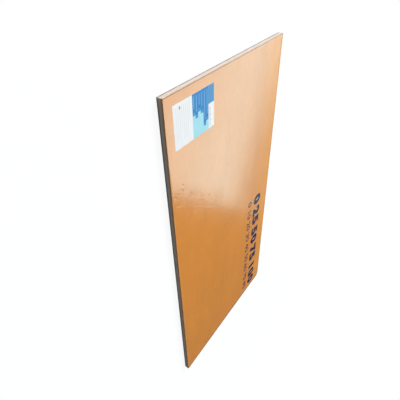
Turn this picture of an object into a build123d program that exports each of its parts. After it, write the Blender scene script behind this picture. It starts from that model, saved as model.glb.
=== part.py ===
from build123d import *
import os

# Driving dimensions, in millimetres.
panel_width = 600.0
panel_length = 1200.0
core_thickness = 13.5
facing_thickness = 2.0

# The worn corner, at the low end of the right-hand side.
worn_corner_radius = 20.0

# The arris of a facing is rounded over by cutting and handling.
arris_radius = 0.4

# The paper label near the top left corner of the face.
label_width = 170.0
label_length = 121.0
label_thickness = 0.15
label_from_left = 30.0
label_from_top = 29.0
label_corner_radius = 1.5

# Places that follow from the sizes above.
core_bottom = facing_thickness
core_top = core_bottom + core_thickness
panel_thickness = core_top + facing_thickness
label_centre_x = -panel_width / 2 + label_from_left + label_width / 2
label_centre_y = panel_length / 2 - label_from_top - label_length / 2


def panel_outline():
    """The outline that core and facings share: a rectangle with one worn corner."""
    sheet = Rectangle(panel_width, panel_length)
    worn_corner = sheet.vertices().group_by(Axis.X)[-1].sort_by(Axis.Y)[0]
    return fillet(worn_corner, worn_corner_radius)


def slab(thickness, bottom):
    """A flat slab of the panel's outline, from the height of its underside."""
    return Pos(0, 0, bottom) * extrude(panel_outline(), thickness)


def facing(bottom, outer_side):
    """A facing sheet whose outer arris is rounded over, on the side that is seen."""
    sheet = slab(facing_thickness, bottom)
    outer_face = sheet.faces().filter_by(Axis.Z).sort_by(Axis.Z)[outer_side]
    return fillet(outer_face.edges(), arris_radius)


def core_board():
    """The heavy board in the middle, cut flush with the facings."""
    return slab(core_thickness, core_bottom)


def back_facing():
    """The sheet that the panel lies on."""
    return facing(0.0, 0)


def front_facing():
    """The printed and varnished sheet on top."""
    return facing(core_top, -1)


def label():
    """The paper label, stuck on the front facing."""
    paper = RectangleRounded(label_width, label_length, label_corner_radius)
    return Pos(label_centre_x, label_centre_y, panel_thickness) * extrude(paper, label_thickness)


def main():
    """Writes each piece of the panel to its own file."""
    pieces = {
        "core_board": core_board(),
        "back_facing": back_facing(),
        "front_facing": front_facing(),
        "label": label(),
    }
    os.makedirs("parts", exist_ok=True)
    for name, shape in pieces.items():
        shape.label = name
        export_step(shape, f"parts/{name}.step")


main()
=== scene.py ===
"""Dresses a soundproofing panel: a pale mineral core between two varnished brown facings, with a paper label.

The panel lies flat on a pale studio floor. Lengths are in metres unless a name says otherwise.
"""

import logging
import math
from dataclasses import dataclass
from enum import Enum
from typing import Any, Iterable, Optional, Union

import bmesh
import bpy
from mathutils import Matrix, Vector, noise

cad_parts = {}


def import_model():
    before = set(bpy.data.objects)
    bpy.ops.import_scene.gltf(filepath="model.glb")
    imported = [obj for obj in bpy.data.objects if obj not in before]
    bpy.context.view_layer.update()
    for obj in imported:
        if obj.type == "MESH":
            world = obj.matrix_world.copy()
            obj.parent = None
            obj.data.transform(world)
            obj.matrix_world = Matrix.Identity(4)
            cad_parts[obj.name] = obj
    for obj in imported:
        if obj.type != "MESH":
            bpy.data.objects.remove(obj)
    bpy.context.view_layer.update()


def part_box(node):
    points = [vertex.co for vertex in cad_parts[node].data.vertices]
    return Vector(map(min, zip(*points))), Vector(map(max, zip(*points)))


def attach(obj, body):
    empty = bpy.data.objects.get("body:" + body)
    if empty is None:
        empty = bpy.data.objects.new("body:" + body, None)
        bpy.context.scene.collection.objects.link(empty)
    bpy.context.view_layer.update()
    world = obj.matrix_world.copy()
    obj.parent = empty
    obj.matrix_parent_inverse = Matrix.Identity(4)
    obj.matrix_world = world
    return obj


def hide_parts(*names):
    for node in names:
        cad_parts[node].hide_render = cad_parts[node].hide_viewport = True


LOG = logging.getLogger("soundproofing_panel")

MM = 0.001
PHOTO_SIDE_PX = 400
ROOT_BODY = "root"

Colour = tuple[float, float, float]
Place = tuple[float, float, float]
Socket = bpy.types.NodeSocket
NodeTree = bpy.types.NodeTree
Material = bpy.types.Material
Piece = bpy.types.Object
Form = bmesh.types.BMesh
Value = Union[float, tuple, Socket]


def blank_tree(owner: Union[Material, bpy.types.World]) -> NodeTree:
    """Gives a material or a world an empty node tree.

    Args:
        owner: The material or the world.

    Returns:
        The empty tree.
    """
    owner.use_nodes = True
    owner.node_tree.nodes.clear()
    return owner.node_tree


class Graph:
    """A node tree under construction."""

    def __init__(self, tree: NodeTree) -> None:
        """Keeps the tree that the nodes go into."""
        self.tree = tree

    def feed(self, socket: Socket, value: Value) -> None:
        """Links a socket into an input, or sets the input to a constant.

        Args:
            socket: The input.
            value: Another node's output, a number, a place or a colour.
        """
        if isinstance(value, Socket):
            self.tree.links.new(value, socket)
        elif socket.type == "RGBA":
            socket.default_value = (*value, 1.0)
        else:
            socket.default_value = value

    def node(self, kind: str, inputs: Optional[dict[Any, Value]] = None, **settings: Any) -> bpy.types.Node:
        """Adds a node and feeds its inputs.

        Args:
            kind: The node's type without its first words, such as Math for ShaderNodeMath.
            inputs: What goes into the inputs, by their names or numbers.
            **settings: Properties of the node, which are set first.

        Returns:
            The new node.
        """
        made = self.tree.nodes.new(f"ShaderNode{kind}")
        for name, value in settings.items():
            setattr(made, name, value)
        for socket, value in (inputs or {}).items():
            self.feed(made.inputs[socket], value)
        return made

    def math(self, operation: str, first: Value, second: Value = 0.0) -> Socket:
        """Adds a Math node, such as MULTIPLY, and returns its result."""
        return self.node("Math", {0: first, 1: second}, operation=operation).outputs[0]

    def vector(self, operation: str, output: str, first: Value, second: Value = (0.0, 0.0, 0.0)) -> Any:
        """Adds a Vector Math node, such as SUBTRACT, and returns its output Vector or Value."""
        return self.node("VectorMath", {0: first, 1: second}, operation=operation).outputs[output]

    def split(self, vector: Value) -> Any:
        """Adds a Separate XYZ node, and returns its outputs X, Y and Z."""
        return self.node("SeparateXYZ", {0: vector}).outputs

    def ramp(self, value: Value, low: Value, high: Value, start: Value, end: Value) -> Socket:
        """Adds a Map Range node that eases from start to end while the value goes from low to high."""
        inputs = {"Value": value, "From Min": low, "From Max": high, "To Min": start, "To Max": end}
        return self.node("MapRange", inputs, interpolation_type="SMOOTHSTEP").outputs["Result"]

    def mix(self, share: Value, first: Value, second: Value, blend: str = "MIX") -> Socket:
        """Adds a colour Mix node that lays a share of the second colour over the first, by a blend such as MULTIPLY."""
        return self.node("Mix", {0: share, 6: first, 7: second}, data_type="RGBA", blend_type=blend).outputs[2]

    def place(self, scale: Place = (1.0, 1.0, 1.0), offset: Place = (0.0, 0.0, 0.0)) -> Socket:
        """Adds Object coordinates, multiplied by the scale and then moved by the offset."""
        inputs = {"Vector": self.node("TexCoord").outputs["Object"], "Scale": scale, "Location": offset}
        return self.node("Mapping", inputs).outputs["Vector"]

    def use(self, group: NodeTree, **inputs: Value) -> Any:
        """Adds a group with its own values, and returns its outputs."""
        return self.node("Group", inputs, node_tree=group).outputs

    def show(self, surface: Socket, kind: str = "OutputMaterial") -> None:
        """Adds the output node, which shows the surface."""
        self.node(kind, {"Surface": surface})


class Side(Enum):
    """A side of the panel, as it is seen from above with the label at the top left."""

    LEFT = "Left"
    RIGHT = "Right"
    TOP = "Top"
    BOTTOM = "Bottom"


class GroupMaker:
    """Builds the effects that several finishes share, each once."""

    CLOUD_DETAIL = 4.0
    CLOUD_ROUGHNESS = 0.6
    CLOUD_MIDDLE = 0.5
    GRAIN_DETAIL = 3.0
    GRAIN_TOP = 0.8

    def __init__(self) -> None:
        """Builds every shared group."""
        self.mottle = self.build_mottle()
        self.grain = self.build_grain()
        self.scratch = self.build_scratch()
        self.patch = self.build_patch()
        self.rims = self.build_rims()

    @staticmethod
    def start(name: str, vectors: list[str], numbers: list[str], outputs: list[str]) -> tuple[Graph, Any, Any]:
        """Makes an empty group with named sockets.

        Args:
            name: The group's name.
            vectors: The names of the inputs that take a place or a direction.
            numbers: The names of the inputs that take a number.
            outputs: The names of the outputs, which are numbers.

        Returns:
            The group's graph, its input node's sockets and its output node's sockets.
        """
        tree = bpy.data.node_groups.new(name, "ShaderNodeTree")
        for sockets, direction, kind in (
            (vectors, "INPUT", "NodeSocketVector"),
            (numbers, "INPUT", "NodeSocketFloat"),
            (outputs, "OUTPUT", "NodeSocketFloat"),
        ):
            for socket in sockets:
                tree.interface.new_socket(socket, in_out=direction, socket_type=kind)
        return Graph(tree), tree.nodes.new("NodeGroupInput").outputs, tree.nodes.new("NodeGroupOutput").inputs

    def build_mottle(self) -> NodeTree:
        """Builds the group for uneven tone: a value about 1, in broad clouds with finer ones on them.

        Returns:
            The group.
        """
        graph, given, result = self.start("mottle", ["Place"], ["Scale", "Contrast"], ["Tone"])
        inputs = {"Vector": given["Place"], "Scale": given["Scale"]}
        clouds = graph.node("TexNoise", {**inputs, "Detail": self.CLOUD_DETAIL, "Roughness": self.CLOUD_ROUGHNESS})
        centred = graph.math("SUBTRACT", clouds.outputs["Fac"], self.CLOUD_MIDDLE)
        swing = graph.math("MULTIPLY", centred, given["Contrast"])
        graph.feed(result["Tone"], graph.math("ADD", swing, 1.0))
        return graph.tree

    def build_grain(self) -> NodeTree:
        """Builds the group for a fine raised grain: a height from 0 to 1, and a mask of its peaks.

        Returns:
            The group.
        """
        graph, given, result = self.start("grain", ["Place"], ["Scale", "PeaksFrom"], ["Height", "Peaks"])
        inputs = {"Vector": given["Place"], "Scale": given["Scale"], "Detail": self.GRAIN_DETAIL}
        height = graph.node("TexNoise", inputs).outputs["Fac"]
        graph.feed(result["Height"], height)
        graph.feed(result["Peaks"], graph.ramp(height, given["PeaksFrom"], self.GRAIN_TOP, 0.0, 1.0))
        return graph.tree

    def build_scratch(self) -> NodeTree:
        """Builds the group for one straight scratch: a mask along the line between two points of the face.

        Returns:
            The group.
        """
        graph, given, result = self.start("scratch", ["Place", "From", "Along"], ["Length", "Width"], ["Mask"])
        away = graph.vector("SUBTRACT", "Vector", given["Place"], given["From"])
        run = graph.vector("DOT_PRODUCT", "Value", away, given["Along"])
        held = graph.math("MINIMUM", graph.math("MAXIMUM", run, 0.0), given["Length"])
        nearest = graph.node("VectorMath", {0: given["Along"], "Scale": held}, operation="SCALE").outputs[0]
        gap = graph.vector("DISTANCE", "Value", away, nearest)
        graph.feed(result["Mask"], graph.ramp(gap, 0.0, given["Width"], 1.0, 0.0))
        return graph.tree

    def build_patch(self) -> NodeTree:
        """Builds the group for a printed rectangle: a mask between a low corner and a high corner.

        Returns:
            The group.
        """
        graph, given, result = self.start("patch", ["Place", "Low", "High"], ["Softness"], ["Mask"])
        place, low, high = (graph.split(given[socket]) for socket in ("Place", "Low", "High"))
        mask: Value = 1.0
        for axis in ("X", "Y"):
            after = graph.math("ADD", low[axis], given["Softness"])
            before = graph.math("SUBTRACT", high[axis], given["Softness"])
            mask = graph.math("MULTIPLY", mask, graph.ramp(place[axis], low[axis], after, 0.0, 1.0))
            mask = graph.math("MULTIPLY", mask, graph.ramp(place[axis], before, high[axis], 1.0, 0.0))
        graph.feed(result["Mask"], mask)
        return graph.tree

    def build_rims(self) -> NodeTree:
        """Builds the group for the distance to each side of the panel, from half its width and half its length.

        Returns:
            The group.
        """
        sides = [side.value for side in Side]
        graph, given, result = self.start("rims", ["Place"], ["HalfWidth", "HalfLength"], sides)
        place = graph.split(given["Place"])
        for side, operation, half, axis in (
            (Side.LEFT, "ADD", "HalfWidth", "X"),
            (Side.RIGHT, "SUBTRACT", "HalfWidth", "X"),
            (Side.TOP, "SUBTRACT", "HalfLength", "Y"),
            (Side.BOTTOM, "ADD", "HalfLength", "Y"),
        ):
            graph.feed(result[side.value], graph.math(operation, given[half], place[axis]))
        return graph.tree


@dataclass(frozen=True)
class Tone:
    """Clouds of lighter and darker tone, by how many fit in a metre and how strong they are."""

    scale: float
    contrast: float


@dataclass(frozen=True)
class Grain:
    """A fine grain, by how many grains fit in a metre, how high it rises and where on it the peaks begin."""

    scale: float
    rise: float = 0.0
    peaks_from: float = 0.5


class MarkTone(Enum):
    """How a mark shows on the face, as the colour it brings: dirt and painted shade in the dark tone, a painted
    highlight in the light tone.
    """

    DIRT_AND_PAINTED_SHADE = (0.40, 0.115, 0.010)
    PAINTED_HIGHLIGHT = (0.93, 0.42, 0.07)


@dataclass(frozen=True)
class Scratch:
    """A straight scratch on the face, by the places of its two ends in millimetres. Its tone paints dirt and shade
    along a dark scratch and a highlight along a light one.
    """

    start_x: float
    start_y: float
    end_x: float
    end_y: float
    width: float
    tone: MarkTone = MarkTone.DIRT_AND_PAINTED_SHADE


def scratch_rows(tone: MarkTone, *rows: tuple[float, ...]) -> tuple[Scratch, ...]:
    """Returns scratches of one tone, from rows of their numbers."""
    return tuple(Scratch(*row, tone) for row in rows)


class Coat(Graph):
    """A material under construction: a Principled shader and what feeds it."""

    SIDE_FULL_TO = 0.5 * MM
    SIDE_GONE_AT = 1.5 * MM

    def __init__(self, name: str, groups: GroupMaker) -> None:
        """Makes a material with a bare shader.

        Args:
            name: The material's name.
            groups: The shared node groups.
        """
        self.material = bpy.data.materials.new(name)
        super().__init__(blank_tree(self.material))
        self.groups = groups
        self.shader = self.node("BsdfPrincipled")
        self.show(self.shader.outputs["BSDF"])

    def dress(self, socket: str, value: Value) -> None:
        """Feeds one of the shader's inputs."""
        self.feed(self.shader.inputs[socket], value)

    def tone(self, tone: Tone, place: Value) -> Socket:
        """Adds an uneven tone at a place, and returns its values about 1."""
        return self.use(self.groups.mottle, Place=place, Scale=tone.scale, Contrast=tone.contrast)["Tone"]

    def grain(self, grain: Grain, place: Value) -> Any:
        """Adds a grain at a place, and returns its outputs Height and Peaks."""
        return self.use(self.groups.grain, Place=place, Scale=grain.scale, PeaksFrom=grain.peaks_from)

    def shade(self, colour: Value, tone: Value) -> Socket:
        """Multiplies a colour by an uneven tone."""
        return self.mix(1.0, colour, tone, "MULTIPLY")

    def rims(self, half: Vector) -> Any:
        """Adds the distances to the sides of a panel with this half size, and returns them by the sides' names."""
        return self.use(self.groups.rims, Place=self.place(), HalfWidth=half.x, HalfLength=half.y)

    def long_sides(self, half: Vector) -> Socket:
        """Adds the mask of the two long cut sides.

        Args:
            half: Half the panel's size.

        Returns:
            The mask.
        """
        rims = self.rims(half)
        nearest = self.math("MINIMUM", rims[Side.LEFT.value], rims[Side.RIGHT.value])
        return self.ramp(nearest, self.SIDE_FULL_TO, self.SIDE_GONE_AT, 1.0, 0.0)

    def marks(self, scratches: Iterable[Scratch]) -> Value:
        """Adds the mask of several scratches.

        Args:
            scratches: The scratches.

        Returns:
            The mask, or 0 where there are none.
        """
        place = self.place(scale=(1.0, 1.0, 0.0))
        mask: Value = 0.0
        for scratch in scratches:
            run = Vector((scratch.end_x - scratch.start_x, scratch.end_y - scratch.start_y, 0.0)) * MM
            one = self.use(
                self.groups.scratch,
                Place=place,
                From=(scratch.start_x * MM, scratch.start_y * MM, 0.0),
                Along=tuple(run.normalized()),
                Length=run.length,
                Width=scratch.width * MM,
            )
            mask = self.math("MAXIMUM", one["Mask"], mask)
        return mask

    def lift(self, *layers: tuple[Value, float]) -> None:
        """Raises the surface by several heights, one after the other.

        Args:
            *layers: Pairs of a height from 0 to 1 and how far that raises the surface.
        """
        below: dict[Any, Value] = {}
        for height, rise in layers:
            bump = self.node("Bump", {**below, "Distance": rise, "Height": height})
            below = {"Normal": bump.outputs["Normal"]}
        self.dress("Normal", below["Normal"])


class Finish:
    """A finish, which paints a coat of its own."""

    def build(self, name: str, groups: GroupMaker) -> Material:
        """Builds the finish.

        Args:
            name: The material's name.
            groups: The shared node groups.

        Returns:
            The material.
        """
        coat = Coat(name, groups)
        self.paint(coat)
        return coat.material

    def paint(self, coat: Coat) -> None:
        """Feeds the coat's shader, which each finish does in its own way."""
        raise NotImplementedError


@dataclass(frozen=True)
class RimToneAndPaintedLight:
    """A band of another tone along one side of the face: some bands are plain darker lines, and some are painted light.
    """

    side: Side
    full_to: float
    gone_at: float
    share: float
    colour: Colour


@dataclass(frozen=True)
class VarnishFinish(Finish):
    """Orange-brown board under a clear varnish."""

    half: Vector
    scratches: tuple[Scratch, ...] = ()
    scuffs: tuple[Scratch, ...] = ()
    colour: Colour = (0.725, 0.253, 0.0435)
    fibre_stretch: Place = (1.0, 0.45, 1.0)
    clouds: Tone = Tone(5.0, 0.12)
    blotches: Tone = Tone(16.0, 0.2)
    fibres: Tone = Tone(140.0, 0.2)
    smudges: Tone = Tone(14.0, 0.35)
    roughness: float = 0.19
    ripple: Grain = Grain(22.0, 0.35 * MM)
    peel: Grain = Grain(170.0, 0.006 * MM)
    scratch_rise: float = 0.08 * MM
    scratch_share: float = 0.48
    scratch_roughness: float = 0.08
    flecks: Grain = Grain(120.0)
    fleck_share: float = 0.3
    fleck_roughness: float = 0.7
    rim_tones_and_painted_light: tuple[RimToneAndPaintedLight, ...] = (
        # Painted light: a lighter band along the right side, standing in for more light falling there.
        RimToneAndPaintedLight(Side.RIGHT, 15.0 * MM, 135.0 * MM, 0.37, (0.95, 0.375, 0.065)),
        RimToneAndPaintedLight(Side.TOP, 2.0 * MM, 4.5 * MM, 1.0, (0.37, 0.120, 0.010)),
        RimToneAndPaintedLight(Side.BOTTOM, 6.0 * MM, 13.0 * MM, 0.8, (0.28, 0.160, 0.080)),
        RimToneAndPaintedLight(Side.RIGHT, 1.5 * MM, 6.0 * MM, 0.35, (0.52, 0.200, 0.050)),
        # Painted highlight: a paler line along the left rim, where the rounded edge of the varnish catches the light.
        RimToneAndPaintedLight(Side.LEFT, 2.0 * MM, 7.0 * MM, 0.20, (0.80, 0.480, 0.250)),
    )

    def paint(self, coat: Coat) -> None:
        """Paints the board, the varnish and the wear of both, with painted light along two rims, and painted shade and
        painted highlights in the marks.

        Args:
            coat: The material under construction.
        """
        place = coat.place()
        colour = self.board(coat, place)
        roughness = coat.math("MULTIPLY", coat.tone(self.smudges, place), self.roughness)
        heights = [(coat.grain(layer, place)["Height"], layer.rise) for layer in (self.ripple, self.peel)]
        if self.scratches:
            scratched: Value = 0.0
            # Painted light: the dark tone is dirt and painted shade where a mark loses the reflection, and the light
            # tone is a painted highlight where a mark catches it.
            for tone in MarkTone:
                mask = coat.marks(scratch for scratch in self.scratches if scratch.tone is tone)
                colour = coat.mix(coat.math("MULTIPLY", mask, self.scratch_share), colour, tone.value)
                scratched = coat.math("MAXIMUM", mask, scratched)
            roughness = coat.math("ADD", roughness, coat.math("MULTIPLY", scratched, self.scratch_roughness))
            heights.append((coat.math("SUBTRACT", 1.0, scratched), self.scratch_rise))
        if self.scuffs:
            # Painted shade: the flecks darken the face where they lose the reflection, besides roughening it.
            flecked = coat.math("MULTIPLY", coat.marks(self.scuffs), coat.grain(self.flecks, place)["Peaks"])
            colour = coat.mix(coat.math("MULTIPLY", flecked, self.fleck_share), colour, MarkTone.DIRT_AND_PAINTED_SHADE.value)
            roughness = coat.math("ADD", roughness, coat.math("MULTIPLY", flecked, self.fleck_roughness))
        coat.dress("Base Color", colour)
        coat.dress("Roughness", roughness)
        coat.lift(*heights)

    def board(self, coat: Coat, place: Value) -> Socket:
        """Adds the board's uneven colour, with the lines along its rims, of which the broad light band on the right and
        the pale line on the left are painted light.

        Args:
            coat: The material under construction.
            place: The coordinates.

        Returns:
            The colour.
        """
        along_fibres = coat.place(scale=self.fibre_stretch)
        uneven = coat.math("MULTIPLY", coat.tone(self.clouds, place), coat.tone(self.blotches, along_fibres))
        colour = coat.shade(self.colour, coat.math("MULTIPLY", uneven, coat.tone(self.fibres, along_fibres)))
        rims = coat.rims(self.half)
        # Lays the rim bands, two of which are painted light.
        for wear in self.rim_tones_and_painted_light:
            share = coat.ramp(rims[wear.side.value], wear.full_to, wear.gone_at, wear.share, 0.0)
            colour = coat.mix(share, colour, wear.colour)
        return colour


@dataclass(frozen=True)
class PulpFinish(Finish):
    """The raw board of a facing, where it is cut, in one tone on the long sides and another on the ends."""

    half: Vector
    side_colour: Colour
    end_colour: Colour
    ply_stretch: Place = (0.15, 0.15, 1.0)
    plies: Tone = Tone(900.0, 0.5)
    fuzz: Grain = Grain(900.0, 0.08 * MM)
    roughness: float = 0.85

    def paint(self, coat: Coat) -> None:
        """Paints the cut board.

        Args:
            coat: The material under construction.
        """
        along_plies = coat.place(scale=self.ply_stretch)
        colour = coat.mix(coat.long_sides(self.half), self.end_colour, self.side_colour)
        coat.dress("Base Color", coat.shade(colour, coat.tone(self.plies, along_plies)))
        coat.dress("Roughness", self.roughness)
        coat.lift((coat.grain(self.fuzz, along_plies)["Height"], self.fuzz.rise))


@dataclass(frozen=True)
class MineralFinish(Finish):
    """The pale, chalky core, with painted shade at its foot and a brown stain below the front facing on its long sides.
    """

    half: Vector
    low: float
    high: float
    colour: Colour = (0.652, 0.623, 0.575)
    warm_colour: Colour = (0.692, 0.616, 0.531)
    speck_colour: Colour = (0.38, 0.33, 0.28)
    painted_foot_shade_colour: Colour = (0.42, 0.38, 0.34)
    stain_colour: Colour = (0.58, 0.320, 0.150)
    tints: Grain = Grain(6.0, peaks_from=0.4)
    clouds: Tone = Tone(30.0, 0.22)
    streak_stretch: Place = (0.04, 0.04, 1.0)
    streaks: Tone = Tone(520.0, 0.45)
    specks: Grain = Grain(620.0, 0.25 * MM, 0.62)
    speck_share: float = 0.5
    painted_foot_shade_reach: float = 4.5 * MM
    painted_foot_shade_share: float = 0.75
    stain_reach: float = 6.5 * MM
    stain_share: float = 0.95
    roughness: float = 0.92

    def paint(self, coat: Coat) -> None:
        """Paints the core.

        Args:
            coat: The material under construction.
        """
        place = coat.place()
        streaks = coat.tone(self.streaks, coat.place(scale=self.streak_stretch))
        specks = coat.grain(self.specks, place)
        colour = coat.mix(coat.grain(self.tints, place)["Peaks"], self.colour, self.warm_colour)
        colour = coat.shade(colour, coat.math("MULTIPLY", coat.tone(self.clouds, place), streaks))
        colour = coat.mix(coat.math("MULTIPLY", specks["Peaks"], self.speck_share), colour, self.speck_colour)
        height = coat.split(place)["Z"]
        # Painted shade: the core grows darker towards its foot, by the back facing and the floor.
        painted_foot_shade = coat.ramp(height, self.low, self.low + self.painted_foot_shade_reach, self.painted_foot_shade_share, 0.0)
        colour = coat.mix(painted_foot_shade, colour, self.painted_foot_shade_colour)
        stain = coat.ramp(height, self.high - self.stain_reach, self.high, 0.0, self.stain_share)
        uneven = coat.math("MULTIPLY", stain, streaks)
        colour = coat.mix(coat.math("MULTIPLY", uneven, coat.long_sides(self.half)), colour, self.stain_colour)
        coat.dress("Base Color", colour)
        coat.dress("Roughness", self.roughness)
        coat.lift((specks["Height"], self.specks.rise))


@dataclass(frozen=True)
class InkFinish(Finish):
    """Navy ink under the varnish."""

    colour: Colour = (0.018, 0.022, 0.075)
    wear_colour: Colour = (0.22, 0.10, 0.05)
    wear: Grain = Grain(260.0, peaks_from=0.55)
    wear_share: float = 0.5
    smudges: Tone = Tone(30.0, 0.3)
    roughness: float = 0.2
    gloss: float = 0.25

    def paint(self, coat: Coat) -> None:
        """Paints the ink.

        Args:
            coat: The material under construction.
        """
        place = coat.place()
        worn = coat.math("MULTIPLY", coat.grain(self.wear, place)["Peaks"], self.wear_share)
        coat.dress("Base Color", coat.mix(worn, self.colour, self.wear_colour))
        coat.dress("Roughness", coat.math("MULTIPLY", coat.tone(self.smudges, place), self.roughness))
        coat.dress("Specular IOR Level", self.gloss)


class LabelInk(Enum):
    """The inks of the label, as the colours they print."""

    DEEP_BLUE = (0.018, 0.185, 0.49)
    MIDDLE_BLUE = (0.085, 0.27, 0.53)
    PALE_BLUE = (0.27, 0.47, 0.72)
    CYAN = (0.38, 0.66, 0.75)
    GREY = (0.73, 0.70, 0.72)
    DARK = (0.06, 0.07, 0.09)
    RUST = (0.38, 0.11, 0.05)


@dataclass(frozen=True)
class LabelField:
    """A printed rectangle, in millimetres from the label's lower left corner."""

    ink: LabelInk
    left: float
    bottom: float
    right: float
    top: float


@dataclass(frozen=True)
class LabelDesign:
    """A plain design for the label: ruled lines on white, level bars on cyan and a tick scale, in millimetres."""

    height: float
    margin: float = 10.0
    line_pitch: float = 7.4
    line_width: float = 2.2
    line_reaches: tuple[float, ...] = (0.93, 0.86, 0.97, 0.62, 0.91, 0.84, 0.95, 0.55)
    marked_line: int = 2
    mark_overhang: float = 1.2
    mark_height: float = 7.0
    bars_left: float = 75.0
    bar_pitch: float = 11.5
    bar_reaches: tuple[float, ...] = (58.0, 68.0, 54.0, 63.0, 104.0, 92.0)
    cap_height: float = 9.0
    seam_width: float = 2.4
    seam_drop: float = 6.0
    strip_width: float = 26.0
    strip_drop: float = 50.0
    tick_pitch: float = 4.0
    tick_count: int = 14
    tick_width: float = 1.2
    tick_gap: float = 4.0
    tick_rise: float = 7.0
    short_tick: float = 4.5
    long_tick: float = 8.0
    ticks_per_long_one: int = 4

    def fields(self) -> list[LabelField]:
        """Returns every printed rectangle, from the lowest ink to the top one."""
        return [*self.ruled_lines(), *self.level_bars(), *self.tick_scale()]

    def ruled_lines(self) -> list[LabelField]:
        """Rules the white field with lines across the label's height, and puts a mark on one of them.

        Returns:
            The printed rectangles.
        """
        room = self.height - 2 * self.margin
        top = self.height - self.margin
        lines = []
        for number, reach in enumerate(self.line_reaches):
            left = self.margin + number * self.line_pitch
            lines.append(LabelField(LabelInk.GREY, left, top - room * reach, left + self.line_width, top))
        line, aside = lines[self.marked_line], self.mark_overhang
        mark = LabelField(LabelInk.RUST, line.left - aside, top - self.mark_height, line.right + aside, top)
        return [*lines, mark]

    def bars_right(self) -> float:
        """Returns where the last bar ends."""
        return self.bars_left + self.bar_pitch * len(self.bar_reaches)

    def level_bars(self) -> list[LabelField]:
        """Lays the cyan ground, the blue bars that hang from its top edge, and the block beside them.

        Returns:
            The printed rectangles.
        """
        end, top = self.bars_right(), self.height
        made = [
            LabelField(LabelInk.CYAN, self.bars_left, 0.0, end, top),
            LabelField(LabelInk.MIDDLE_BLUE, end, top - self.strip_drop, end + self.strip_width, top),
        ]
        for number, reach in enumerate(self.bar_reaches):
            left = self.bars_left + number * self.bar_pitch
            right = left + self.bar_pitch
            foot = top - reach
            seam_left = (left + right - self.seam_width) / 2
            seam_foot = foot + 2 * self.cap_height
            made += [
                LabelField(LabelInk.DEEP_BLUE, left, foot, right, top),
                LabelField(LabelInk.MIDDLE_BLUE, left, foot, right, foot + self.cap_height),
                LabelField(LabelInk.PALE_BLUE, seam_left, seam_foot, seam_left + self.seam_width, top - self.seam_drop),
            ]
        return made

    def tick_scale(self) -> list[LabelField]:
        """Lays the ticks of the white strip at the right, below the blue block.

        Returns:
            The printed rectangles.
        """
        left = self.bars_right() + self.tick_gap
        ticks = []
        for number in range(self.tick_count):
            length = self.short_tick if number % self.ticks_per_long_one else self.long_tick
            bottom = self.tick_rise + number * self.tick_pitch
            ticks.append(LabelField(LabelInk.DARK, left, bottom, left + length, bottom + self.tick_width))
        return ticks


@dataclass(frozen=True)
class PaperFinish(Finish):
    """White label paper with its print, which is placed from the label's lower left corner."""

    corner: Vector
    design: LabelDesign
    colour: Colour = (0.86, 0.80, 0.80)
    clouds: Tone = Tone(60.0, 0.05)
    tooth: Grain = Grain(900.0, 0.01 * MM)
    edge_softness_mm: float = 0.25
    roughness: float = 0.62

    def paint(self, coat: Coat) -> None:
        """Paints the paper and prints on it.

        Args:
            coat: The material under construction.
        """
        place = coat.place()
        per_mm = 1 / MM
        offset = (-self.corner.x * per_mm, -self.corner.y * per_mm, 0.0)
        in_mm = coat.place(scale=(per_mm, per_mm, per_mm), offset=offset)
        colour = coat.shade(self.colour, coat.tone(self.clouds, place))
        for printed in self.design.fields():
            patch = coat.use(
                coat.groups.patch,
                Place=in_mm,
                Low=(printed.left, printed.bottom, 0.0),
                High=(printed.right, printed.top, 0.0),
                Softness=self.edge_softness_mm,
            )
            colour = coat.mix(patch["Mask"], colour, printed.ink.value)
        coat.dress("Base Color", colour)
        coat.dress("Roughness", self.roughness)
        coat.lift((coat.grain(self.tooth, place)["Height"], self.tooth.rise))


@dataclass(frozen=True)
class Dent:
    """A knock in the face, by its place, radius and depth in millimetres."""

    x: float
    y: float
    radius: float
    depth: float

    def covers(self, point: Vector, margin: float) -> bool:
        """Returns whether a point over the face lies in the dent, or less than a margin away from it."""
        return math.hypot(point.x - self.x * MM, point.y - self.y * MM) < self.radius * MM + margin

    def sink(self, x: float, y: float) -> float:
        """Returns how far the dent lowers the face at a place in metres."""
        away = math.hypot(x - self.x * MM, y - self.y * MM) / (self.radius * MM)
        return self.depth * MM * max(0.0, 1.0 - away * away) ** 2


@dataclass(frozen=True)
class FaceRelief:
    """How the outer side of a facing departs from flat."""

    wave_length: float = 260 * MM
    wave_height: float = 0.06 * MM
    seed: float = 3.7
    dents: tuple[Dent, ...] = ()

    def height(self, x: float, y: float) -> float:
        """Returns the height above the flat face at a place, which is negative in a dent."""
        wave = noise.noise(Vector((x / self.wave_length, y / self.wave_length, self.seed)))
        return self.wave_height * wave - sum(dent.sink(x, y) for dent in self.dents)


def flat_grid(centre: Vector, size: Vector, cell: float) -> Form:
    """Makes a flat sheet of square cells, at height 0.

    Args:
        centre: The middle of the sheet.
        size: Its width and length.
        cell: The size of a cell.

    Returns:
        The sheet.
    """
    sheet = bmesh.new()
    bmesh.ops.create_grid(
        sheet,
        x_segments=round(size.x / cell),
        y_segments=round(size.y / cell),
        size=0.5,
        matrix=Matrix.Translation((centre.x, centre.y, 0.0)) @ Matrix.Diagonal((size.x, size.y, 1.0, 1.0)),
    )
    return sheet


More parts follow.
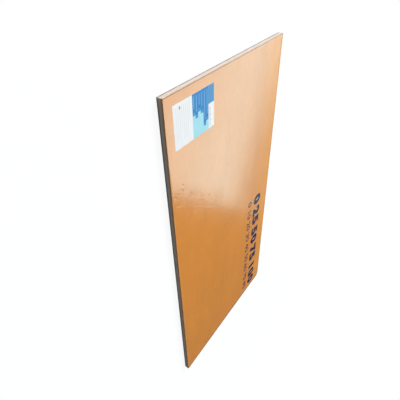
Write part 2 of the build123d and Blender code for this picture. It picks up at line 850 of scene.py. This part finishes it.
@dataclass(frozen=True)
class Outline:
    """The rectangle with one worn corner that the core and the facings share."""

    size: Vector
    corner_radius: float

    def bend(self, x: float, y: float) -> tuple[float, float]:
        """Moves a point of the full rectangle so that the worn corner becomes round.

        Args:
            x: The place across the width.
            y: The place along the length.

        Returns:
            The moved place, which is the same outside the corner's square.
        """
        centre_x = self.size.x / 2 - self.corner_radius
        centre_y = self.corner_radius - self.size.y / 2
        across = (x - centre_x) / self.corner_radius
        down = (centre_y - y) / self.corner_radius
        if across <= 0.0 or down <= 0.0:
            return x, y
        round_across = across * math.sqrt(1.0 - down * down / 2)
        round_down = down * math.sqrt(1.0 - across * across / 2)
        return centre_x + round_across * self.corner_radius, centre_y - round_down * self.corner_radius

    def grid(self, cell: float) -> Form:
        """Makes a flat sheet in the outline.

        Args:
            cell: The size of a cell.

        Returns:
            The sheet.
        """
        sheet = flat_grid(Vector(), self.size, cell)
        for vertex in sheet.verts:
            vertex.co.x, vertex.co.y = self.bend(vertex.co.x, vertex.co.y)
        return sheet


def finish_mesh(name: str, form: Form, materials: list[Material]) -> Piece:
    """Turns a form into an object at the origin.

    Args:
        name: The piece's name.
        form: The form, which is freed.
        materials: The piece's materials, in the order of its faces' indices.

    Returns:
        The new object.
    """
    mesh = bpy.data.meshes.new(name)
    form.to_mesh(mesh)
    form.free()
    for material in materials:
        mesh.materials.append(material)
    piece = bpy.data.objects.new(name, mesh)
    bpy.context.scene.collection.objects.link(piece)
    return piece


def border_edges(form: Form) -> list[bmesh.types.BMEdge]:
    """Returns the edges that belong to one face only."""
    return [edge for edge in form.edges if edge.is_boundary]


def corners_of(items: Iterable[Any]) -> list[bmesh.types.BMVert]:
    """Returns the vertices among the parts of a mesh that an operator made."""
    return [item for item in items if isinstance(item, bmesh.types.BMVert)]


@dataclass
class Facing:
    """A facing sheet with its outer side in relief and its arris rounded over."""

    name: str
    node: str
    outline: Outline
    inner_height: float
    outer_height: float
    relief: FaceRelief
    cell: float = 6 * MM
    fine_cuts: int = 3
    arris: float = 0.4 * MM
    arris_segments: int = 3
    arris_angle_deg: float = 60.0
    level_from: float = 0.5

    def build(self, face_finish: Material, edge_finish: Material) -> Piece:
        """Builds the sheet and puts it in the place of its node.

        Args:
            face_finish: The material of the outer side.
            edge_finish: The material of the cut edge and the glued side.

        Returns:
            The piece.
        """
        sheet = self.outline.grid(self.cell)
        self.refine(sheet)
        direction = 1.0 if self.outer_height > self.inner_height else -1.0
        for vertex in sheet.verts:
            vertex.co.z = self.outer_height + direction * self.relief.height(vertex.co.x, vertex.co.y)
        rim = bmesh.ops.extrude_edge_only(sheet, edges=border_edges(sheet))
        for vertex in corners_of(rim["geom"]):
            vertex.co.z = self.inner_height
        bmesh.ops.edgeloop_fill(sheet, edges=border_edges(sheet))
        bmesh.ops.recalc_face_normals(sheet, faces=sheet.faces[:])
        self.round_arris(sheet)
        for face in sheet.faces:
            face.material_index = 0 if face.normal.z * direction > self.level_from else 1
            face.smooth = face.material_index == 0
        for edge in sheet.edges:
            edge.smooth = len({face.material_index for face in edge.link_faces}) == 1
        piece = finish_mesh(self.name, sheet, [face_finish, edge_finish])
        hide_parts(self.node)
        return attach(piece, ROOT_BODY)

    def refine(self, sheet: Form) -> None:
        """Cuts the cells round each dent finer, so that the dent is round.

        Args:
            sheet: The flat sheet.
        """
        near = [
            edge
            for edge in sheet.edges
            if any(all(dent.covers(corner.co, self.cell) for corner in edge.verts) for dent in self.relief.dents)
        ]
        bmesh.ops.subdivide_edges(sheet, edges=near, cuts=self.fine_cuts, use_grid_fill=True)
        beside = [face for face in sheet.faces if len(face.verts) > 4]
        bmesh.ops.triangulate(sheet, faces=beside, ngon_method="BEAUTY")

    def round_arris(self, sheet: Form) -> None:
        """Rounds over the edge between the outer side and the cut edge.

        Args:
            sheet: The closed sheet.
        """
        arris = [
            edge
            for edge in sheet.edges
            if len(edge.link_faces) == 2
            and edge.calc_face_angle() > math.radians(self.arris_angle_deg)
            and abs(edge.verts[0].co.z - self.outer_height) < abs(edge.verts[0].co.z - self.inner_height)
        ]
        bmesh.ops.bevel(
            sheet,
            geom=arris,
            offset=self.arris,
            segments=self.arris_segments,
            profile=0.5,
            affect="EDGES",
            material=-1,
        )


@dataclass
class Core:
    """The mineral core, with the slight roughness of a cut on its four sides."""

    outline: Outline
    bottom: float
    top: float
    cell: float = 4 * MM
    layers: int = 8
    recess: float = 0.12 * MM
    roughness: float = 0.14 * MM
    grit_length: float = 7 * MM

    def build(self, finish: Material) -> Piece:
        """Builds the core and puts it in the place of its node.

        Args:
            finish: The core's material.

        Returns:
            The piece.
        """
        slab = self.outline.grid(self.cell)
        bmesh.ops.dissolve_faces(slab, faces=slab.faces[:])
        for vertex in slab.verts:
            vertex.co.z = self.bottom
        step = Vector((0.0, 0.0, (self.top - self.bottom) / self.layers))
        edges = border_edges(slab)
        for _ in range(self.layers):
            wall = bmesh.ops.extrude_edge_only(slab, edges=edges)["geom"]
            corners = corners_of(wall)
            bmesh.ops.translate(slab, vec=step, verts=corners)
            raised = set(corners)
            edges = [
                item for item in wall if isinstance(item, bmesh.types.BMEdge) and all(v in raised for v in item.verts)
            ]
        bmesh.ops.edgeloop_fill(slab, edges=edges)
        bmesh.ops.recalc_face_normals(slab, faces=slab.faces[:])
        self.roughen(slab)
        piece = finish_mesh("core_board_cut", slab, [finish])
        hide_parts("core_board")
        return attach(piece, ROOT_BODY)

    def roughen(self, slab: Form) -> None:
        """Draws each point of the sides inwards by an uneven amount.

        Args:
            slab: The closed slab.
        """
        slab.normal_update()
        moves = []
        for vertex in slab.verts:
            outward = Vector((vertex.normal.x, vertex.normal.y, 0.0))
            if outward.length > 0.0:
                grit = noise.noise(vertex.co / self.grit_length)
                moves.append((vertex, outward.normalized() * -(self.recess + self.roughness * grit)))
        for vertex, move in moves:
            vertex.co += move


def lay_on_face(film: Form, face_height: float, relief: FaceRelief, thickness: float) -> None:
    """Lays a flat film on the face and gives it a thickness.

    Args:
        film: A flat open mesh, over its place on the face.
        face_height: The height of the flat face.
        relief: How the face departs from flat.
        thickness: How thick the film becomes.
    """
    for vertex in film.verts:
        vertex.co.z = face_height + relief.height(vertex.co.x, vertex.co.y)
    top = bmesh.ops.extrude_face_region(film, geom=film.faces[:], use_keep_orig=True)["geom"]
    bmesh.ops.translate(film, vec=Vector((0.0, 0.0, thickness)), verts=corners_of(top))
    bmesh.ops.recalc_face_normals(film, faces=film.faces[:])
    for face in film.faces:
        face.smooth = False


@dataclass
class Label:
    """The paper label, which follows the face under it."""

    low: Vector
    high: Vector
    face_height: float
    relief: FaceRelief
    cell: float = 5 * MM

    def build(self, finish: Material) -> Piece:
        """Builds the label and puts it in the place of its node.

        Args:
            finish: The paper's material.

        Returns:
            The piece.
        """
        paper = flat_grid((self.high + self.low) / 2, self.high - self.low, self.cell)
        lay_on_face(paper, self.face_height, self.relief, self.high.z - self.face_height)
        piece = finish_mesh("label_paper_sheet", paper, [finish])
        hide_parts("label")
        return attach(piece, ROOT_BODY)


@dataclass(frozen=True)
class TextRow:
    """A row of plain figures that reads down the panel, in millimetres.

    The foot is its place across the width and the lead how far it starts above the print's top. The boldness is how
    much thicker the strokes are than the plain font's, as a share of its size. The word gap and the letter gap are
    shares of the plain font's too.
    """

    name: str
    body: str
    foot: float
    lead: float
    height: float
    length: float
    boldness: float
    word_gap: float = 1.0
    letter_gap: float = 1.0


@dataclass
class Print:
    """The ink along the right-hand side: a row of large figures, and a row of small ones beside it."""

    face_height: float
    relief: FaceRelief
    top_y: float
    large: TextRow = TextRow("large_figures", "0 25 50 75 100", 188.0, 14.0, 57.0, 564.0, 0.065, 0.30, 1.20)
    small: TextRow = TextRow("small_figures", "0 10 20 30 40 50 60 70 80", 142.5, 12.0, 27.0, 548.0, 0.008)
    film: float = 0.04 * MM
    weld: float = 0.02 * MM

    def build(self, finish: Material) -> list[Piece]:
        """Builds both rows in one ink, and returns them."""
        return [self.lay(row, finish) for row in (self.large, self.small)]

    def lay(self, row: TextRow, finish: Material) -> Piece:
        """Lays a row of ink on the face.

        Args:
            row: What the row says, and where.
            finish: The ink's material.

        Returns:
            The piece.
        """
        form = self.text(row)
        lay_on_face(form, self.face_height, self.relief, self.film)
        piece = finish_mesh(row.name, form, [finish])
        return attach(piece, ROOT_BODY)

    def text(self, row: TextRow) -> Form:
        """Makes a flat row of figures, with their tops to the right.

        Args:
            row: What the row says, and where.

        Returns:
            The flat figures.
        """
        curve = bpy.data.curves.new(row.name, "FONT")
        curve.body = row.body
        curve.offset = row.boldness
        curve.space_word = row.word_gap
        curve.space_character = row.letter_gap
        carrier = bpy.data.objects.new(row.name, curve)
        bpy.context.scene.collection.objects.link(carrier)
        bpy.context.view_layer.update()
        mesh = bpy.data.meshes.new_from_object(carrier)
        form = bmesh.new()
        form.from_mesh(mesh)
        bpy.data.objects.remove(carrier)
        bpy.data.meshes.remove(mesh)
        low = Vector((min(v.co.x for v in form.verts), min(v.co.y for v in form.verts), 0.0))
        high = Vector((max(v.co.x for v in form.verts), max(v.co.y for v in form.verts), 0.0))
        fit = Matrix.Diagonal((row.length * MM / (high.x - low.x), row.height * MM / (high.y - low.y), 1.0, 1.0))
        seat = Matrix.Translation((row.foot * MM, self.top_y + row.lead * MM, 0.0))
        turn = Matrix.Rotation(-math.pi / 2, 4, "Z")
        bmesh.ops.transform(form, matrix=seat @ turn @ fit @ Matrix.Translation(-low), verts=form.verts[:])
        bmesh.ops.remove_doubles(form, verts=form.verts[:], dist=self.weld)
        bmesh.ops.dissolve_degenerate(form, dist=self.weld, edges=form.edges[:])
        return form


@dataclass(frozen=True)
class Softbox:
    """A large upright lamp behind a cloth, by the directions that its sides are seen in from the panel."""

    distance: float = 4.0
    facing_deg: float = 119.0
    near_low_deg: float = 133.2
    near_high_deg: float = 144.0
    far_deg: float = 80.0
    low_deg: float = 21.3
    full_deg: float = 26.0
    high_deg: float = 56.0
    radiance: float = 4.26
    colour: Colour = (0.545, 0.950, 1.0)

    def corner(self, heading_deg: float, height: float) -> Vector:
        """Finds a point of the lamp's plane.

        Args:
            heading_deg: The direction that it is seen in, clockwise from the labelled end.
            height: Its height over the floor.

        Returns:
            The point.
        """
        facing = math.radians(self.facing_deg)
        ahead = Vector((math.sin(facing), math.cos(facing), 0.0))
        right = Vector((math.cos(facing), -math.sin(facing), 0.0))
        aside = math.tan(math.radians(heading_deg - self.facing_deg))
        return (ahead + right * aside) * self.distance + Vector((0.0, 0.0, height))

    def build(self) -> None:
        """Builds the lamp, which fades out towards its lower side."""
        low, full, high = (
            self.distance * math.tan(math.radians(angle)) for angle in (self.low_deg, self.full_deg, self.high_deg)
        )
        outline = [
            self.corner(self.near_low_deg, low),
            self.corner(self.near_high_deg, high),
            self.corner(self.far_deg, high),
            self.corner(self.far_deg, low),
        ]
        cloth = bmesh.new()
        cloth.faces.new([cloth.verts.new(point) for point in outline])
        material = bpy.data.materials.new("softbox_cloth")
        graph = Graph(blank_tree(material))
        strength = graph.ramp(graph.split(graph.place())["Z"], low, full, 0.0, self.radiance)
        graph.show(graph.node("Emission", {"Color": self.colour, "Strength": strength}).outputs[0])
        lamp = finish_mesh("softbox", cloth, [material])
        lamp.visible_camera = False


@dataclass(frozen=True)
class SoftLamp:
    """A square lamp, by the direction and the distance that it stands in from the panel.

    A lamp that isn't mirrored lights the panel but doesn't show in its varnish.
    """

    name: str
    heading_deg: float
    height_deg: float
    distance: float
    side: float
    level: float
    colour: Colour = (1.0, 1.0, 1.0)
    mirrored: bool = True

    def build(self) -> None:
        """Builds the lamp, so bright that it lights a surface that faces it at its level."""
        lamp = bpy.data.lights.new(self.name, "AREA")
        lamp.size = self.side
        lamp.energy = self.level * (math.pi * self.distance) ** 2
        lamp.color = self.colour
        carrier = bpy.data.objects.new(self.name, lamp)
        heading, height = math.radians(self.heading_deg), math.radians(self.height_deg)
        source = Vector(
            (math.sin(heading) * math.cos(height), math.cos(heading) * math.cos(height), math.sin(height))
        )
        carrier.location = source * self.distance
        carrier.rotation_euler = source.to_track_quat("Z", "Y").to_euler()
        carrier.visible_glossy = self.mirrored
        bpy.context.scene.collection.objects.link(carrier)


@dataclass(frozen=True)
class StudioCamera:
    """The camera, rolled so that the flat panel stands upright in the picture."""

    location: Place = (-0.84244, 0.92043, 0.51573)
    aim: Place = (-0.16900, 0.26957, 0.01700)
    roll_deg: float = 112.542
    focal_px: float = 360.02
    shift: tuple[float, float] = (-0.0029, -0.0275)
    sensor_width_mm: float = 36.0

    def build(self) -> None:
        """Builds the camera and makes it the scene's own."""
        optics = bpy.data.cameras.new("camera")
        optics.sensor_width = self.sensor_width_mm
        optics.lens = self.focal_px / PHOTO_SIDE_PX * self.sensor_width_mm
        optics.shift_x, optics.shift_y = self.shift
        carrier = bpy.data.objects.new("camera", optics)
        gaze = Vector(self.aim) - Vector(self.location)
        level = gaze.to_track_quat("-Z", "Y").to_matrix().to_4x4()
        roll = Matrix.Rotation(math.radians(self.roll_deg), 4, "Z")
        carrier.matrix_world = Matrix.Translation(self.location) @ level @ roll
        bpy.context.scene.collection.objects.link(carrier)
        bpy.context.scene.camera = carrier


@dataclass(frozen=True)
class Studio:
    """The pale floor, the white surroundings and the lamps."""

    floor_side: float = 120.0
    floor_drop: float = 0.2 * MM
    shadow_share: float = 0.07
    bounce_colour: Colour = (0.29, 0.28, 0.275)
    world_colour: Colour = (1.0, 1.0, 1.0)
    white_from: float = 1.2
    white_to: float = 2.2
    ambient: float = 0.10
    key: SoftLamp = SoftLamp("key", 37.8, 27.0, 13.0, 5.2, 1.61, (1.0, 0.95, 0.95), mirrored=False)
    fill: SoftLamp = SoftLamp("fill", 262.0, 9.0, 5.0, 3.0, 0.085)

    def build(self) -> None:
        """Builds the studio."""
        self.build_floor()
        self.build_world()
        Softbox().build()
        self.key.build()
        self.fill.build()
        StudioCamera().build()
        bpy.context.scene.view_settings.view_transform = "Standard"

    def build_floor(self) -> None:
        """Builds the floor, which is white to the camera, keeps the panel's shadow and throws little light back."""
        plane = bmesh.new()
        bmesh.ops.create_grid(plane, x_segments=1, y_segments=1, size=self.floor_side / 2)
        for vertex in plane.verts:
            vertex.co.z = -self.floor_drop
        material = bpy.data.materials.new("studio_floor")
        graph = Graph(blank_tree(material))
        away = graph.vector("LENGTH", "Value", graph.place())
        share = graph.ramp(away, self.white_from, self.white_to, self.shadow_share, 0.0)
        glow = graph.node("Emission", {"Strength": graph.math("SUBTRACT", 1.0, share)})
        shadowed = graph.node("BsdfDiffuse", {"Color": share})
        seen = graph.node("AddShader", {0: glow.outputs[0], 1: shadowed.outputs[0]})
        bounced = graph.node("BsdfDiffuse", {"Color": self.bounce_colour})
        by_camera = graph.node("LightPath").outputs["Is Camera Ray"]
        graph.show(graph.node("MixShader", {0: by_camera, 1: bounced.outputs[0], 2: seen.outputs[0]}).outputs[0])
        finish_mesh("studio_floor", plane, [material])

    def build_world(self) -> None:
        """Builds the surroundings: white to the camera, a weak even light for everything else."""
        world = bpy.data.worlds.new("studio")
        graph = Graph(blank_tree(world))
        by_camera = graph.node("LightPath").outputs["Is Camera Ray"]
        strength = graph.math("ADD", graph.math("MULTIPLY", by_camera, 1.0 - self.ambient), self.ambient)
        sky = graph.node("Background", {"Color": self.world_colour, "Strength": strength})
        graph.show(sky.outputs[0], "OutputWorld")
        bpy.context.scene.world = world


@dataclass
class Panel:
    """The whole panel, sized from the frame."""

    corner_radius: float = 20 * MM
    print_top: float = -22 * MM
    front_cut_colour: Colour = (0.52, 0.260, 0.105)
    front_end_colour: Colour = (0.655, 0.420, 0.258)
    # Painted shade: the back facing's cut edges, down by the floor, are painted far darker than the front's.
    back_cut_painted_shade_colour: Colour = (0.15, 0.130, 0.115)
    back_end_painted_shade_colour: Colour = (0.14, 0.112, 0.070)
    scratches: tuple[Scratch, ...] = (
        *scratch_rows(
            MarkTone.DIRT_AND_PAINTED_SHADE,
            (-132, 179, -92, 172, 3.6), (-114, 169, -77, 137, 2.2), (-200, 231, -139, 183, 2.0),
            (-290, 320, -265, 292, 3.2), (-288, 329, -250, 304, 2.6), (-262, 329, -249, 316, 3.4),
            (-253, 338, -246, 334, 3.4), (-221, 291, -215, 282, 3.4), (-174, 248, -157, 237, 3.0),
            (-178, 235, -156, 219, 3.0), (-6, 66, 12, 54, 3.0), (-184, -560, -178, -556, 7.0),
            (-284, -562, -278, -556, 6.0), (-265, -562, -260, -557, 6.0), (-293, -402, -290, -394, 5.0),
        ),
        *scratch_rows(
            MarkTone.PAINTED_HIGHLIGHT,
            (-138, 188, -99, 182, 3.0), (-141, 177, -118, 170, 3.0), (-92, 175, -51, 160, 3.6),
            (-51, 160, -26, 132, 3.0), (-177, 257, -159, 245, 3.4), (-177, 245, -159, 233, 3.4),
            (-202, 269, -185, 252, 3.0), (-216, 210, -194, 202, 3.0), (-283, 280, -251, 264, 2.6),
        ),
    )
    scuffs: tuple[Scratch, ...] = (Scratch(-262.0, 305.0, -60.0, 165.0, 46.0),)
    dents: tuple[Dent, ...] = (
        Dent(-22.0, 272.0, 8.0, 0.35),
        Dent(-251.0, 334.0, 8.0, 0.22),
        Dent(-255.0, 316.0, 8.0, 0.18),
        Dent(-215.0, 280.0, 7.0, 0.18),
        Dent(-285.0, 313.0, 8.0, 0.15),
        Dent(-75.0, 93.0, 9.0, 0.3),
    )

    def build(self) -> list[Piece]:
        """Builds every piece and dresses it.

        Returns:
            The pieces.
        """
        groups = GroupMaker()
        core_low, core_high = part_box("core_board")
        back_low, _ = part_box("back_facing")
        _, front_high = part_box("front_facing")
        label_low, label_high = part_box("label")
        size = core_high - core_low
        half = size / 2
        outline = Outline(size, self.corner_radius)
        front_relief = FaceRelief(dents=self.dents)
        back_relief = FaceRelief(wave_height=0.0)
        design = LabelDesign((label_high.y - label_low.y) / MM)
        varnish = VarnishFinish(half, self.scratches, self.scuffs).build("varnished_board", groups)
        back_varnish = VarnishFinish(half).build("varnished_board_back", groups)
        front_cut = PulpFinish(half, self.front_cut_colour, self.front_end_colour).build("cut_board_front", groups)
        # The back facing's cut edges carry painted shade.
        back_cut = PulpFinish(half, self.back_cut_painted_shade_colour, self.back_end_painted_shade_colour).build("cut_board_back", groups)
        mineral = MineralFinish(half, core_low.z, core_high.z).build("mineral_core", groups)
        ink = InkFinish().build("navy_ink", groups)
        paper = PaperFinish(label_low, design).build("label_paper", groups)
        front = Facing("front_facing_sheet", "front_facing", outline, core_high.z, front_high.z, front_relief)
        back = Facing("back_facing_sheet", "back_facing", outline, core_low.z, back_low.z, back_relief)
        return [
            Core(outline, core_low.z, core_high.z).build(mineral),
            back.build(back_varnish, back_cut),
            front.build(varnish, front_cut),
            Label(label_low, label_high, front_high.z, front_relief).build(paper),
            *Print(front_high.z, front_relief, self.print_top).build(ink),
        ]


def main() -> None:
    """Loads the frame, dresses the panel, sets up the studio and reports each piece."""
    logging.basicConfig(level=logging.INFO, format="%(name)s: %(message)s")
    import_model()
    for piece in Panel().build():
        piece.data.calc_loop_triangles()
        LOG.info("%s has %d triangles", piece.name, len(piece.data.loop_triangles))
    Studio().build()


if __name__ == "__main__":
    main()
